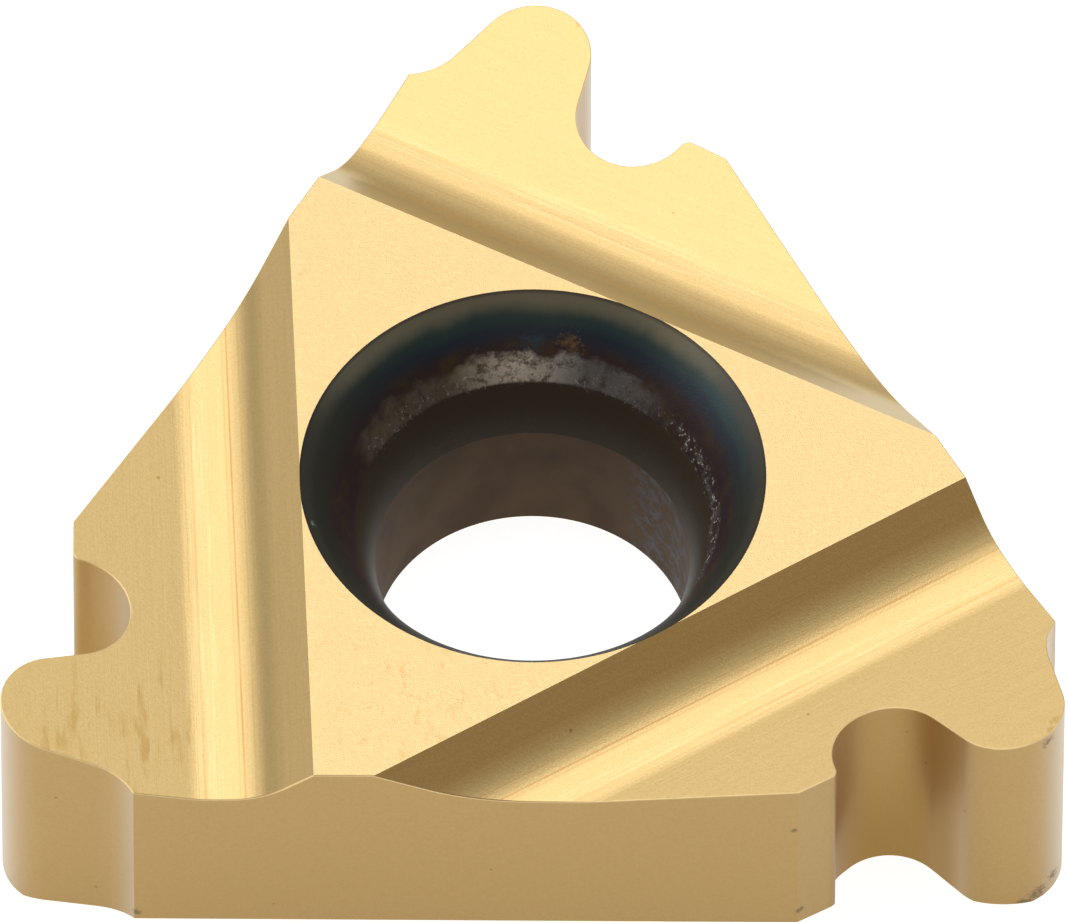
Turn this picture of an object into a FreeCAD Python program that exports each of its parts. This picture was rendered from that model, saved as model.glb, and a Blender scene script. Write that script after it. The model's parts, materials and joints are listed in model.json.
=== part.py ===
import FreeCAD, Part
import math
import os

import Sketcher
from FreeCAD import Placement, Rotation, Vector

# A laydown threading insert: one ground piece of coated carbide with three cutting corners.
# Millimetres. The origin is on the axis of the screw hole, at the face the insert lies on.
# +Z points up through the hole, and the first cutting corner points towards +Y.

# Driving dimensions, each with what it measures
DIMENSIONS = [
    # The three sided blank
    ("inscribed_circle", 9.525, "circle that the three side faces touch"),
    ("thickness", 3.52, "from the seat to the top face"),
    # The bevel round the seat, under each side face and each land
    ("bevel_height", 0.47, "from the seat up the face"),
    ("bevel_width", 0.70, "from the face in along the seat"),
    # The hole for the clamp screw
    ("hole_diameter", 4.0, "straight part of the hole"),
    ("recess_diameter", 5.92, "mouth of the recess for the screw head"),
    ("recess_depth", 1.76, "from the top face to the straight part"),
    ("recess_curve", 4.0, "radius of the recess wall, which bulges towards the axis"),
    # The ground chip groove behind each cutting corner
    ("groove_offset", 2.945, "from the hole axis to the edge of the groove"),
    ("groove_turn", 2.6, "degrees that the groove is turned from square to the tooth"),
    ("groove_wall_angle", 38.0, "degrees that the wall falls from the top face"),
    ("groove_radius", 0.85, "at the bottom of the groove"),
    ("groove_depth", 0.585, "lowest point under the top face"),
    ("rake_angle", 9.0, "degrees that the rake face climbs towards the tooth"),
    # The tooth form, a rounded thread with straight flanks
    ("tooth_reach", 6.70, "from the hole axis to the crest, along the tooth"),
    ("tooth_inset", 1.28, "from the side face beside the tooth to its middle"),
    ("flank_angle", 15.0, "degrees from the middle of the tooth to each flank"),
    ("nose_radius", 0.75, "crest of the tooth"),
    ("notch_radius", 0.75, "bottom of the notch beside the tooth"),
    ("notch_depth", 1.62, "from the crest to the bottom of the notch"),
    ("shoulder_radius", 0.82, "hollow between the tooth and the side face beside it"),
    ("shoulder_depth", 1.80, "from the crest to the bottom of that hollow"),
    ("land_depth", 0.885, "from the crest to the flat land past the notch"),
    ("land_radius", 0.12, "corner between the notch and the land"),
]

CORNERS = 3
CUT_MARGIN = 1.0

# Directions in degrees from +X: the first tooth, the side face beside it, and square to the tooth
TOOTH_TURN = 60.0
SIDE_TURN = TOOTH_TURN + 90.0
ACROSS_TURN = TOOTH_TURN - 90.0

# From the middle of the tooth to the middle of the notch, half the thread's pitch
NOTCH_RUN = (
    "(Dimensions.nose_radius + Dimensions.notch_radius"
    " + (Dimensions.notch_depth - Dimensions.nose_radius - Dimensions.notch_radius)"
    " * sin(Dimensions.flank_angle * 1 deg)) / cos(Dimensions.flank_angle * 1 deg)"
)

document = FreeCAD.newDocument("threading_insert")


def make_sheet():
    """The sheet of driving dimensions, one alias a row."""
    sheet = document.addObject("Spreadsheet::Sheet", "Dimensions")
    for row, (alias, value, meaning) in enumerate(DIMENSIONS, start=1):
        sheet.set("A%d" % row, alias)
        sheet.set("B%d" % row, str(value))
        sheet.set("C%d" % row, meaning)
        sheet.setAlias("B%d" % row, alias)
    document.recompute()
    return sheet


sheet = make_sheet()
size = {alias: float(sheet.get(alias)) for alias, _, _ in DIMENSIONS}


def origin_feature(body, role):
    """One of the planes or axes of the body's own origin."""
    for feature in body.Origin.OriginFeatures:
        if feature.Role == role:
            return feature
    raise RuntimeError("no origin feature " + role)


def new_sketch(body, name, role, offset=Placement()):
    """A sketch on one of the body's origin planes."""
    sketch = body.newObject("Sketcher::SketchObject", name)
    sketch.AttachmentSupport = [(origin_feature(body, role), "")]
    sketch.MapMode = "FlatFace"
    sketch.AttachmentOffset = offset
    return sketch


def upright_sketch(body, name, turn, shift=Vector()):
    """A sketch that stands on the seat: its X points out at an angle from +X, and its Y is up."""
    return new_sketch(body, name, "XZ_Plane", Placement(shift, Rotation(Vector(0, 1, 0), turn)))


def line(start, end, smooth=False):
    """A straight piece of an outline. smooth: it runs on into the next piece without a corner."""
    return {"start": start, "end": end, "smooth": smooth}


def arc(centre, radius, first, last, smooth=False):
    """A round piece of an outline, from one angle to another in degrees, either way round."""
    return {"centre": centre, "radius": radius, "first": first, "last": last, "smooth": smooth}


def on_circle(centre, radius, angle):
    """The point of a circle at an angle in degrees."""
    turn = math.radians(angle)
    return (centre[0] + radius * math.cos(turn), centre[1] + radius * math.sin(turn))


def draw_outline(sketch, pieces):
    """Draws the pieces in order and joins each one to the next, the last one to the first."""
    start_end = []
    for piece in pieces:
        if "radius" in piece:
            low, high = sorted((piece["first"], piece["last"]))
            circle = Part.Circle(Vector(*piece["centre"], 0), Vector(0, 0, 1), piece["radius"])
            sketch.addGeometry(Part.ArcOfCircle(circle, math.radians(low), math.radians(high)))
            start_end.append((1, 2) if piece["first"] == low else (2, 1))
        else:
            sketch.addGeometry(Part.LineSegment(Vector(*piece["start"], 0), Vector(*piece["end"], 0)))
            start_end.append((1, 2))
    for this, piece in enumerate(pieces):
        following = (this + 1) % len(pieces)
        kind = "Tangent" if piece["smooth"] else "Coincident"
        ends = (this, start_end[this][1], following, start_end[following][0])
        sketch.addConstraint(Sketcher.Constraint(kind, *ends))


def fix(sketch, kind, *where):
    """A constraint that has no size, such as Horizontal."""
    sketch.addConstraint(Sketcher.Constraint(kind, *where))


def drive(sketch, name, expression, value, kind, *where):
    """A dimension of the sketch, tied to the sheet by its expression."""
    index = sketch.addConstraint(Sketcher.Constraint(kind, *where, value))
    sketch.renameConstraint(index, name)
    sketch.setExpression("Constraints." + name, expression)


def cut_volume(feature, solid_before):
    """Stops the build where a cut has taken nothing away."""
    document.recompute()
    taken = solid_before.Shape.Volume - feature.Shape.Volume
    if taken <= 0:
        raise RuntimeError(feature.Name + " cuts nothing")
    print("%s takes %.3f mm3" % (feature.Name, taken))


def pad_blank(body):
    """The three sided block, with sharp corners."""
    sketch = new_sketch(body, "BlankOutline", "XY_Plane")
    inner = size["inscribed_circle"] / 2
    outer = inner / math.cos(math.pi / CORNERS)
    corners = [on_circle((0, 0), outer, 90 + 360 / CORNERS * side) for side in range(CORNERS)]
    sides = [line(corners[side], corners[(side + 1) % CORNERS]) for side in range(CORNERS)]
    draw_outline(sketch, sides)
    circle = sketch.addGeometry(Part.Circle(Vector(0, 0, 0), Vector(0, 0, 1), inner), True)
    fix(sketch, "Coincident", circle, 3, -1, 1)
    for side in range(CORNERS):
        fix(sketch, "Tangent", side, circle)
    for side in range(1, CORNERS):
        fix(sketch, "Equal", 0, side)
    fix(sketch, "Horizontal", 1)
    drive(sketch, "inscribed", "Dimensions.inscribed_circle", 2 * inner, "Diameter", circle)

    blank = body.newObject("PartDesign::Pad", "Blank")
    blank.Profile = sketch
    blank.setExpression("Length", "Dimensions.thickness")
    document.recompute()
    return blank


def draw_bevel(sketch, face, face_formula):
    """The three sided waste under a bevel, which reaches past the face and past the seat."""
    height = size["bevel_height"]
    width = size["bevel_width"]
    outer = face + CUT_MARGIN
    upper = height + CUT_MARGIN * height / width
    inner = face - width - CUT_MARGIN * width / height
    draw_outline(sketch, [
        line((outer, upper), (inner, -CUT_MARGIN)),
        line((inner, -CUT_MARGIN), (outer, -CUT_MARGIN)),
        line((outer, -CUT_MARGIN), (outer, upper)),
    ])
    bevel, under, outside = range(3)
    fix(sketch, "Horizontal", under)
    fix(sketch, "Vertical", outside)
    slope = "Dimensions.bevel_height / Dimensions.bevel_width"
    drive(sketch, "outer_x", "%s + %g" % (face_formula, CUT_MARGIN),
          outer, "DistanceX", -1, 1, bevel, 1)
    drive(sketch, "upper_y", "Dimensions.bevel_height + %g * %s" % (CUT_MARGIN, slope),
          upper, "DistanceY", -1, 1, bevel, 1)
    drive(sketch, "inner_x", "%s - Dimensions.bevel_width - %g / (%s)" % (face_formula, CUT_MARGIN, slope),
          inner, "DistanceX", -1, 1, bevel, 2)
    drive(sketch, "under_y", "-%g" % CUT_MARGIN, -CUT_MARGIN, "DistanceY", -1, 1, under, 1)


def bevel_side(body, before):
    """Bevels the foot of the side face beside the first tooth, along its whole length."""
    sketch = upright_sketch(body, "SideBevelSection", SIDE_TURN)
    draw_bevel(sketch, size["inscribed_circle"] / 2, "Dimensions.inscribed_circle / 2")
    bevel = body.newObject("PartDesign::Pocket", "SideBevel")
    bevel.Profile = sketch
    bevel.Type = "ThroughAll"
    bevel.Midplane = True
    cut_volume(bevel, before)
    return bevel


def cut_tooth(body, before):
    """Grinds one corner to the tooth, with its shoulder, notch and land, square to the seat.

    The sketch is turned so that its Y runs along the tooth and its X points away from the side
    face beside the tooth.
    """
    turned = Placement(Vector(), Rotation(Vector(0, 0, 1), ACROSS_TURN))
    sketch = new_sketch(body, "ToothOutline", "XY_Plane", turned)
    side = -size["inscribed_circle"] / 2
    crest = size["tooth_reach"]
    flank = size["flank_angle"]
    nose_radius = size["nose_radius"]
    hollow_radius = size["shoulder_radius"]
    notch_radius = size["notch_radius"]
    land_radius = size["land_radius"]
    nose = (side + size["tooth_inset"], crest - nose_radius)

    def beside_nose(way, radius, depth):
        """The centre of a hollow that a flank of the tooth runs into, on one side of the nose."""
        height = crest - depth + radius
        fall = (nose[1] - height) * math.sin(math.radians(flank))
        reach = (nose_radius + radius + fall) / math.cos(math.radians(flank))
        return (nose[0] + way * reach, height)

    hollow = beside_nose(-1, hollow_radius, size["shoulder_depth"])
    notch = beside_nose(1, notch_radius, size["notch_depth"])
    land_height = crest - size["land_depth"]
    rise_start = on_circle(notch, notch_radius, 360 - flank)
    rise_top = land_height - land_radius + land_radius * math.sin(math.radians(flank))
    rise_run = (rise_top - rise_start[1]) * math.tan(math.radians(flank))
    rise_end = (rise_start[0] + rise_run, rise_top)
    land_round = (rise_end[0] + land_radius * math.cos(math.radians(flank)), land_height - land_radius)

    left = 1.5 * side
    right = -side / 2
    top = -2 * side + CUT_MARGIN
    floor = hollow[1] - hollow_radius
    draw_outline(sketch, [
        line((left, floor), (hollow[0], floor), smooth=True),
        arc(hollow, hollow_radius, -90, -flank, smooth=True),
        line(on_circle(hollow, hollow_radius, -flank),
             on_circle(nose, nose_radius, 180 - flank), smooth=True),
        arc(nose, nose_radius, 180 - flank, flank, smooth=True),
        line(on_circle(nose, nose_radius, flank),
             on_circle(notch, notch_radius, 180 + flank), smooth=True),
        arc(notch, notch_radius, 180 + flank, 360 - flank, smooth=True),
        line(rise_start, rise_end, smooth=True),
        arc(land_round, land_radius, 180 - flank, 90, smooth=True),
        line((land_round[0], land_height), (right, land_height)),
        line((right, land_height), (right, top)),
        line((right, top), (left, top)),
        line((left, top), (left, floor)),
    ])
    in_line, in_hollow, left_flank, in_nose, right_flank, in_notch = range(6)
    rise, in_round, land, right_edge, top_edge, left_edge = range(6, 12)
    for level in (in_line, land, top_edge):
        fix(sketch, "Horizontal", level)
    for upright in (right_edge, left_edge):
        fix(sketch, "Vertical", upright)

    radii = {in_nose: "nose_radius", in_notch: "notch_radius", in_round: "land_radius",
             in_hollow: "shoulder_radius"}
    for edge, alias in radii.items():
        drive(sketch, alias, "Dimensions." + alias, size[alias], "Radius", edge)
    y_axis = -2
    slope = math.radians(flank)
    drive(sketch, "left_slope", "-Dimensions.flank_angle * 1 deg",
          -slope, "Angle", y_axis, 1, left_flank, 1)
    drive(sketch, "right_slope", "(180 + Dimensions.flank_angle) * 1 deg",
          math.pi + slope, "Angle", y_axis, 1, right_flank, 1)
    drive(sketch, "rise_slope", "-Dimensions.flank_angle * 1 deg",
          -slope, "Angle", y_axis, 1, rise, 1)

    heights = {
        "nose_y": ("- Dimensions.nose_radius", nose[1], in_nose, 3),
        "notch_y": ("- Dimensions.notch_depth + Dimensions.notch_radius", notch[1], in_notch, 3),
        "hollow_y": ("- Dimensions.shoulder_depth + Dimensions.shoulder_radius", hollow[1], in_hollow, 3),
        "land_y": ("- Dimensions.land_depth", land_height, land, 1),
    }
    for label, (formula, value, edge, point) in heights.items():
        drive(sketch, label, "Dimensions.tooth_reach " + formula, value, "DistanceY", -1, 1, edge, point)
    drive(sketch, "nose_x", "-Dimensions.inscribed_circle / 2 + Dimensions.tooth_inset",
          nose[0], "DistanceX", -1, 1, in_nose, 3)
    drive(sketch, "left_x", "-0.75 * Dimensions.inscribed_circle",
          left, "DistanceX", -1, 1, left_edge, 1)
    drive(sketch, "right_x", "Dimensions.inscribed_circle / 4",
          right, "DistanceX", -1, 1, right_edge, 1)
    drive(sketch, "top_y", "Dimensions.inscribed_circle + %g" % CUT_MARGIN,
          top, "DistanceY", -1, 1, top_edge, 1)

    tooth = body.newObject("PartDesign::Pocket", "Tooth")
    tooth.Profile = sketch
    tooth.Type = "ThroughAll"
    tooth.Midplane = True
    cut_volume(tooth, before)
    return tooth


def bevel_land(body, before):
    """Bevels the foot of the first tooth's land, from the open notch to past the far side face."""
    tilt = math.radians(size["flank_angle"])
    rounds = size["nose_radius"] + size["notch_radius"]
    run = (rounds + (size["notch_depth"] - rounds) * math.sin(tilt)) / math.cos(tilt)
    middle = -size["inscribed_circle"] / 2 + size["tooth_inset"] + run
    turn = math.radians(TOOTH_TURN)
    shift = Vector(middle * math.sin(turn), 0, middle * math.cos(turn))
    sketch = upright_sketch(body, "LandBevelSection", TOOTH_TURN, shift)
    formula = "(-Dimensions.inscribed_circle / 2 + Dimensions.tooth_inset + %s) * %s(%g deg)"
    sketch.setExpression("AttachmentOffset.Base.x", formula % (NOTCH_RUN, "sin", TOOTH_TURN))
    sketch.setExpression("AttachmentOffset.Base.z", formula % (NOTCH_RUN, "cos", TOOTH_TURN))
    draw_bevel(sketch, size["tooth_reach"] - size["land_depth"],
               "Dimensions.tooth_reach - Dimensions.land_depth")
    bevel = body.newObject("PartDesign::Pocket", "LandBevel")
    bevel.Profile = sketch
    bevel.Type = "ThroughAll"
    bevel.Reversed = True
    cut_volume(bevel, before)
    return bevel


def cut_chip_groove(body, before):
    """Grinds the chip groove and the rake face behind one tooth, along the whole of one side.

    The sketch is the cross-section: its X points from the hole axis towards the tooth.
    """
    sketch = upright_sketch(body, "GrooveSection", TOOTH_TURN + size["groove_turn"])
    sketch.setExpression("AttachmentOffset.Rotation.Angle", "%g + Dimensions.groove_turn" % TOOTH_TURN)

    top = size["thickness"]
    fall = math.radians(size["groove_wall_angle"])
    climb = math.radians(size["rake_angle"])
    radius = size["groove_radius"]
    edge = (size["groove_offset"], top)
    centre_height = top - size["groove_depth"] + radius
    wall_foot_height = centre_height - radius * math.cos(fall)
    wall_foot = (edge[0] + (top - wall_foot_height) / math.tan(fall), wall_foot_height)
    centre = (wall_foot[0] + radius * math.sin(fall), centre_height)
    rake_start = on_circle(centre, radius, 270 + size["rake_angle"])
    reach = size["inscribed_circle"] + CUT_MARGIN
    rake_end = (reach, rake_start[1] + (reach - rake_start[0]) * math.tan(climb))
    above = top + 2 * CUT_MARGIN
    draw_outline(sketch, [
        line(edge, wall_foot, smooth=True),
        arc(centre, radius, 270 - size["groove_wall_angle"], 270 + size["rake_angle"], smooth=True),
        line(rake_start, rake_end),
        line(rake_end, (reach, above)),
        line((reach, above), (edge[0], above)),
        line((edge[0], above), edge),
    ])
    wall, bottom, rake, outer_edge, top_edge, inner_edge = range(6)
    fix(sketch, "Vertical", outer_edge)
    fix(sketch, "Horizontal", top_edge)
    fix(sketch, "Vertical", inner_edge)
    x_axis = -1
    drive(sketch, "wall_fall", "-Dimensions.groove_wall_angle * 1 deg", -fall, "Angle", x_axis, 1, wall, 1)
    drive(sketch, "rake_climb", "Dimensions.rake_angle * 1 deg", climb, "Angle", x_axis, 1, rake, 1)
    drive(sketch, "radius", "Dimensions.groove_radius", radius, "Radius", bottom)
    drive(sketch, "edge_x", "Dimensions.groove_offset", edge[0], "DistanceX", -1, 1, wall, 1)
    drive(sketch, "edge_y", "Dimensions.thickness", edge[1], "DistanceY", -1, 1, wall, 1)
    drive(sketch, "centre_y",
          "Dimensions.thickness - Dimensions.groove_depth + Dimensions.groove_radius",
          centre[1], "DistanceY", -1, 1, bottom, 3)
    drive(sketch, "reach_x", "Dimensions.inscribed_circle + %g" % CUT_MARGIN,
          reach, "DistanceX", -1, 1, outer_edge, 1)
    drive(sketch, "above_y", "Dimensions.thickness + %g" % (2 * CUT_MARGIN),
          above, "DistanceY", -1, 1, top_edge, 1)

    groove = body.newObject("PartDesign::Pocket", "ChipGroove")
    groove.Profile = sketch
    groove.Type = "ThroughAll"
    groove.Midplane = True
    cut_volume(groove, before)
    return groove


def repeat_corners(body, features, before):
    """The same tooth and groove at every corner of the insert."""
    corners = body.newObject("PartDesign::PolarPattern", "Corners")
    corners.Originals = features
    corners.Axis = (origin_feature(body, "Z_Axis"), [""])
    corners.Angle = 360
    corners.Occurrences = CORNERS
    body.Tip = corners
    cut_volume(corners, before)
    return corners


def cut_screw_hole(body, before):
    """A straight hole through the seat, opening into a curved recess for the screw head."""
    sketch = new_sketch(body, "HoleSection", "XZ_Plane")
    hole = size["hole_diameter"] / 2
    mouth = size["recess_diameter"] / 2
    top = size["thickness"]
    step = top - size["recess_depth"]
    chord = (mouth - hole, top - step)
    length = math.hypot(*chord)
    stand_off = math.sqrt(size["recess_curve"] ** 2 - (length / 2) ** 2)
    centre = ((hole + mouth) / 2 + chord[1] / length * stand_off,
              (step + top) / 2 - chord[0] / length * stand_off)
    foot_angle = math.degrees(math.atan2(step - centre[1], hole - centre[0]))
    mouth_angle = math.degrees(math.atan2(top - centre[1], mouth - centre[0]))
    below = -CUT_MARGIN
    above = top + CUT_MARGIN
    draw_outline(sketch, [
        line((0, below), (hole, below)),
        line((hole, below), (hole, step)),
        arc(centre, size["recess_curve"], foot_angle, mouth_angle),
        line((mouth, top), (mouth, above)),
        line((mouth, above), (0, above)),
        line((0, above), (0, below)),
    ])
    bottom_edge, wall, recess, mouth_edge, top_edge, middle = range(6)
    for level in (bottom_edge, top_edge):
        fix(sketch, "Horizontal", level)
    for upright in (wall, mouth_edge, middle):
        fix(sketch, "Vertical", upright)
    drive(sketch, "middle_x", "0", 0, "DistanceX", -1, 1, middle, 1)
    drive(sketch, "hole_x", "Dimensions.hole_diameter / 2", hole, "DistanceX", -1, 1, wall, 1)
    drive(sketch, "mouth_x", "Dimensions.recess_diameter / 2", mouth, "DistanceX", -1, 1, mouth_edge, 1)
    drive(sketch, "mouth_y", "Dimensions.thickness", top, "DistanceY", -1, 1, mouth_edge, 1)
    drive(sketch, "step_y", "Dimensions.thickness - Dimensions.recess_depth",
          step, "DistanceY", -1, 1, wall, 2)
    drive(sketch, "curve", "Dimensions.recess_curve", size["recess_curve"], "Radius", recess)
    drive(sketch, "below_y", "-%g" % CUT_MARGIN, below, "DistanceY", -1, 1, bottom_edge, 1)
    drive(sketch, "above_y", "Dimensions.thickness + %g" % CUT_MARGIN,
          above, "DistanceY", -1, 1, top_edge, 1)

    screw_hole = body.newObject("PartDesign::Groove", "ScrewHole")
    screw_hole.Profile = sketch
    screw_hole.ReferenceAxis = (sketch, ["V_Axis"])
    screw_hole.Angle = 360
    body.Tip = screw_hole
    cut_volume(screw_hole, before)
    return screw_hole


def make_insert():
    """The whole insert, in the order that it is made: pressed blank, teeth, grooves, hole."""
    body = document.addObject("PartDesign::Body", "Insert")
    body.Label = "threading_insert"
    blank = pad_blank(body)
    side = bevel_side(body, blank)
    tooth = cut_tooth(body, side)
    land = bevel_land(body, tooth)
    groove = cut_chip_groove(body, land)
    corners = repeat_corners(body, [side, tooth, land, groove], groove)
    cut_screw_hole(body, corners)
    return body


def check_document(pieces):
    """Stops the build where an object has failed or a piece isn't one valid solid."""
    document.recompute()
    for item in document.Objects:
        if "Invalid" in item.State or "Error" in item.State:
            raise RuntimeError("%s failed: %s" % (item.Name, item.State))
    for piece in pieces:
        shape = piece.Shape
        if shape.isNull() or not shape.isValid() or len(shape.Solids) != 1:
            raise RuntimeError(piece.Label + " is not one valid solid")


def write_pieces(pieces):
    """One STEP file a piece, named by its label."""
    os.makedirs("parts", exist_ok=True)
    for piece in pieces:
        piece.Shape.exportStep("parts/%s.step" % piece.Label)
        box = piece.Shape.BoundBox
        print("%s %.3f x %.3f x %.3f mm, %.3f mm3"
              % (piece.Label, box.XLength, box.YLength, box.ZLength, piece.Shape.Volume))


pieces = [make_insert()]
check_document(pieces)
write_pieces(pieces)
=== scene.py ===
import json
import math

import bmesh
import bpy
from mathutils import Matrix, Vector


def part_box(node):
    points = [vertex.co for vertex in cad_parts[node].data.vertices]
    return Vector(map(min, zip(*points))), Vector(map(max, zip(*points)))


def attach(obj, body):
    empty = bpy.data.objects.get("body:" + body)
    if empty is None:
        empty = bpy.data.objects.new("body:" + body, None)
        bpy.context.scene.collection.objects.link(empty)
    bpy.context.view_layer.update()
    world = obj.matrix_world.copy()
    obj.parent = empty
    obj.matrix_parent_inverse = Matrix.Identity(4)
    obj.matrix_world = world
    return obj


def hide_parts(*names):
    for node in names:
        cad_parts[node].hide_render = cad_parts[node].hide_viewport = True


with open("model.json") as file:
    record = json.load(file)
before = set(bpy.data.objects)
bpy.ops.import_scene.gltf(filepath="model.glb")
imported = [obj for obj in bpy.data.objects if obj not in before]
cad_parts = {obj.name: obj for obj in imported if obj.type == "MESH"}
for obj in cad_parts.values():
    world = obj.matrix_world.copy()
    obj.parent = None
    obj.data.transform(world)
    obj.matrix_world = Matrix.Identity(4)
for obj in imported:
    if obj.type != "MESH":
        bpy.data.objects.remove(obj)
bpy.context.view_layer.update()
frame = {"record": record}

# A laydown threading insert in gold coated carbide, on a pale floor in a soft light tent.
# Shapes are made in millimetres and brought to metres when they are finished.
MM = 0.001
NODE = "threading_insert"

# Sizes of the blank and the hole, from the frame
low_corner, high_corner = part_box(NODE)
MOUNTS = {mount["name"]: mount for mount in frame["record"]["mounts"]}
THICKNESS = high_corner.z / MM
SIDE = -low_corner.y / MM
HOLE_RADIUS = MOUNTS["screw_hole"]["dims"]["r_mm"]
STRAIGHT_DEPTH = MOUNTS["screw_hole"]["dims"]["length_mm"]

# The recess for the screw head
MOUTH_RADIUS = 2.96
RECESS_CURVE = 4.0

# The bevel round the seat
BEVEL_HEIGHT = 0.47
BEVEL_WIDTH = 0.70

# The chip groove and the rake face behind each tooth
GROOVE_OFFSET = 2.945
GROOVE_TURN = 2.6
GROOVE_WALL_ANGLE = 38.0
GROOVE_RADIUS = 0.85
GROOVE_DEPTH = 0.585
RAKE_ANGLE = 9.0

# The groove's bottom as the photograph shows it, at most 0.06 mm shallower than the solid's
FOOT_RADIUS = 1.2
BOTTOM_ANGLE = -1.5
RAKE_START = 4.35
CREASE_RADIUS = 1.8

# The tooth form
TOOTH_REACH = 6.70
TOOTH_INSET = 1.28
FLANK_ANGLE = 15.0
NOSE_RADIUS = 0.75
NOTCH_RADIUS = 0.75
NOTCH_DEPTH = 1.62
SHOULDER_RADIUS = 0.82
SHOULDER_DEPTH = 1.80
LAND_DEPTH = 0.885
LAND_RADIUS = 0.12

# The first tooth's nose and land: x is square to the tooth, y along it
NOSE_CENTRE = (-SIDE + TOOTH_INSET, TOOTH_REACH - NOSE_RADIUS)
LAND_REACH = TOOTH_REACH - LAND_DEPTH

# The three corners, and the directions of the first one in degrees from +X
CORNERS = 3
CORNER_STEP = 360 / CORNERS
TOOTH_TURN = 60.0
SIDE_TURN = TOOTH_TURN + 90.0
GROOVE_DIRECTION = TOOTH_TURN + GROOVE_TURN

# How finely round forms are cut, in degrees and in steps, and how far cuts overshoot
ARC_STEP = 3.0
HOLE_STEPS = 240
OVERSHOOT = 1.0
LONG = 12.0

# The hone on the cutting edges, which all lie above the groove floor, and how faces are shaded
GROOVE_FLOOR = THICKNESS - GROOVE_DEPTH - 0.01
HONE_WIDTH = 0.015
HONE_STEPS = 2
SHARP_ANGLE = 12.0
LARGE_FACE_WEIGHT = 100

# How upright the normals of the top and the seat are, at the least, and a length too small to see
FACING = 0.5
HAIR = 0.0001

# The picture: the camera's direction, what it aims at in millimetres, and the width that it takes in
CAMERA_ELEVATION = 52.96
CAMERA_AZIMUTH = 0.19
CAMERA_ROLL = 0.20
CAMERA_AIM = (0.015, 0.144, 3.629)
CAMERA_DISTANCE = 540.0
PICTURE_WIDTH = 13.53
CLIP_START = 0.01
CLIP_END = 10.0

# The tent's brighter parts, as azimuth, elevation and level, and how fast each one fades
TENT_GLOWS = [(0, 10, 0.44), (-90, 10, 1.93), (-45, 10, 0.30), (0, 40, 0.61), (60, 40, 0.84),
              (120, 40, 0.29), (0, 80, 0.50), (180, 12, 0.50)]
TENT_FALL = 10.0

# The tent's colour, which turns warm towards the front
TENT_WHITE = (1.0, 1.0, 1.0, 1)
TENT_WARM = (1.0, 0.82, 0.62, 1)
WARM_BAND = (0.0, 0.35)

# The panel above: where it hangs, its radius and how soft its edge is, in degrees, and its level
PANEL_PLACE = (-35.5, 64.4)
PANEL_RADIUS = 26.0
PANEL_SOFT = 2.5
PANEL_GLOW = 1.10

# The floor in millimetres, its finish, what it gives the insert, and how white the camera sees it
FLOOR_RADIUS = 600
FLOOR_STEPS = 72
FLOOR_UNDERSIDE = -5
FLOOR_TOP = -0.01
FLOOR_GREY = (0.60, 0.60, 0.60, 1)
FLOOR_ROUGHNESS = 0.9
FLOOR_GLOW = (0.57, 0.57, 0.57, 1)
FLOOR_WHITE = (0.92, 0.92, 0.92, 1)


def on_circle(centre, radius, angle):
    """The point of a circle at an angle in degrees."""
    turn = math.radians(angle)
    return (centre[0] + radius * math.cos(turn), centre[1] + radius * math.sin(turn))


def arc(centre, radius, first, last):
    """Points along an arc, from one angle to another in degrees."""
    count = max(2, math.ceil(abs(last - first) / ARC_STEP))
    return [on_circle(centre, radius, first + (last - first) * step / count) for step in range(count + 1)]


def beside_nose(way, radius, depth):
    """The centre of a hollow that a flank of the tooth runs into, on one side of the nose."""
    tilt = math.radians(FLANK_ANGLE)
    height = TOOTH_REACH - depth + radius
    fall = (NOSE_CENTRE[1] - height) * math.sin(tilt)
    reach = (NOSE_RADIUS + radius + fall) / math.cos(tilt)
    return (NOSE_CENTRE[0] + way * reach, height)


def notch_middle():
    """The centre of the notch beside the first tooth."""
    return beside_nose(1, NOTCH_RADIUS, NOTCH_DEPTH)


def corner_turn(corner):
    """Turns a form drawn with its tooth along y to its place at a corner."""
    return Matrix.Rotation(math.radians(TOOTH_TURN - 90 - CORNER_STEP * corner), 2)


def corner_outline():
    """One corner's edge, clockwise: x is square to the tooth, y along it."""
    hollow = beside_nose(-1, SHOULDER_RADIUS, SHOULDER_DEPTH)
    notch = notch_middle()
    meets_side = -math.degrees(math.acos((-SIDE - hollow[0]) / SHOULDER_RADIUS))
    tilt = math.radians(FLANK_ANGLE)
    rise_start = on_circle(notch, NOTCH_RADIUS, 360 - FLANK_ANGLE)
    rise_top = LAND_REACH - LAND_RADIUS + LAND_RADIUS * math.sin(tilt)
    round_x = rise_start[0] + (rise_top - rise_start[1]) * math.tan(tilt) + LAND_RADIUS * math.cos(tilt)
    far_side = 2 * (SIDE - LAND_REACH * math.sin(math.radians(180 / CORNERS)))
    return (arc(hollow, SHOULDER_RADIUS, meets_side, -FLANK_ANGLE)
            + arc(NOSE_CENTRE, NOSE_RADIUS, 180 - FLANK_ANGLE, FLANK_ANGLE)
            + arc(notch, NOTCH_RADIUS, 180 + FLANK_ANGLE, 360 - FLANK_ANGLE)
            + arc((round_x, LAND_REACH - LAND_RADIUS), LAND_RADIUS, 180 - FLANK_ANGLE, 90)
            + [(far_side, LAND_REACH)])


def insert_outline():
    """The whole edge of the insert, anticlockwise."""
    points = []
    for corner in range(CORNERS):
        points += [corner_turn(corner) @ Vector(point) for point in corner_outline()]
    return list(reversed(points))


def section_frame(angle):
    """Puts a section upright: its x points out at an angle from +X, its y up, and it runs along z."""
    turn = math.radians(angle)
    out = Vector((math.cos(turn), math.sin(turn), 0))
    up = Vector((0, 0, 1))
    return Matrix((out, up, out.cross(up))).transposed().to_4x4()


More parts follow.
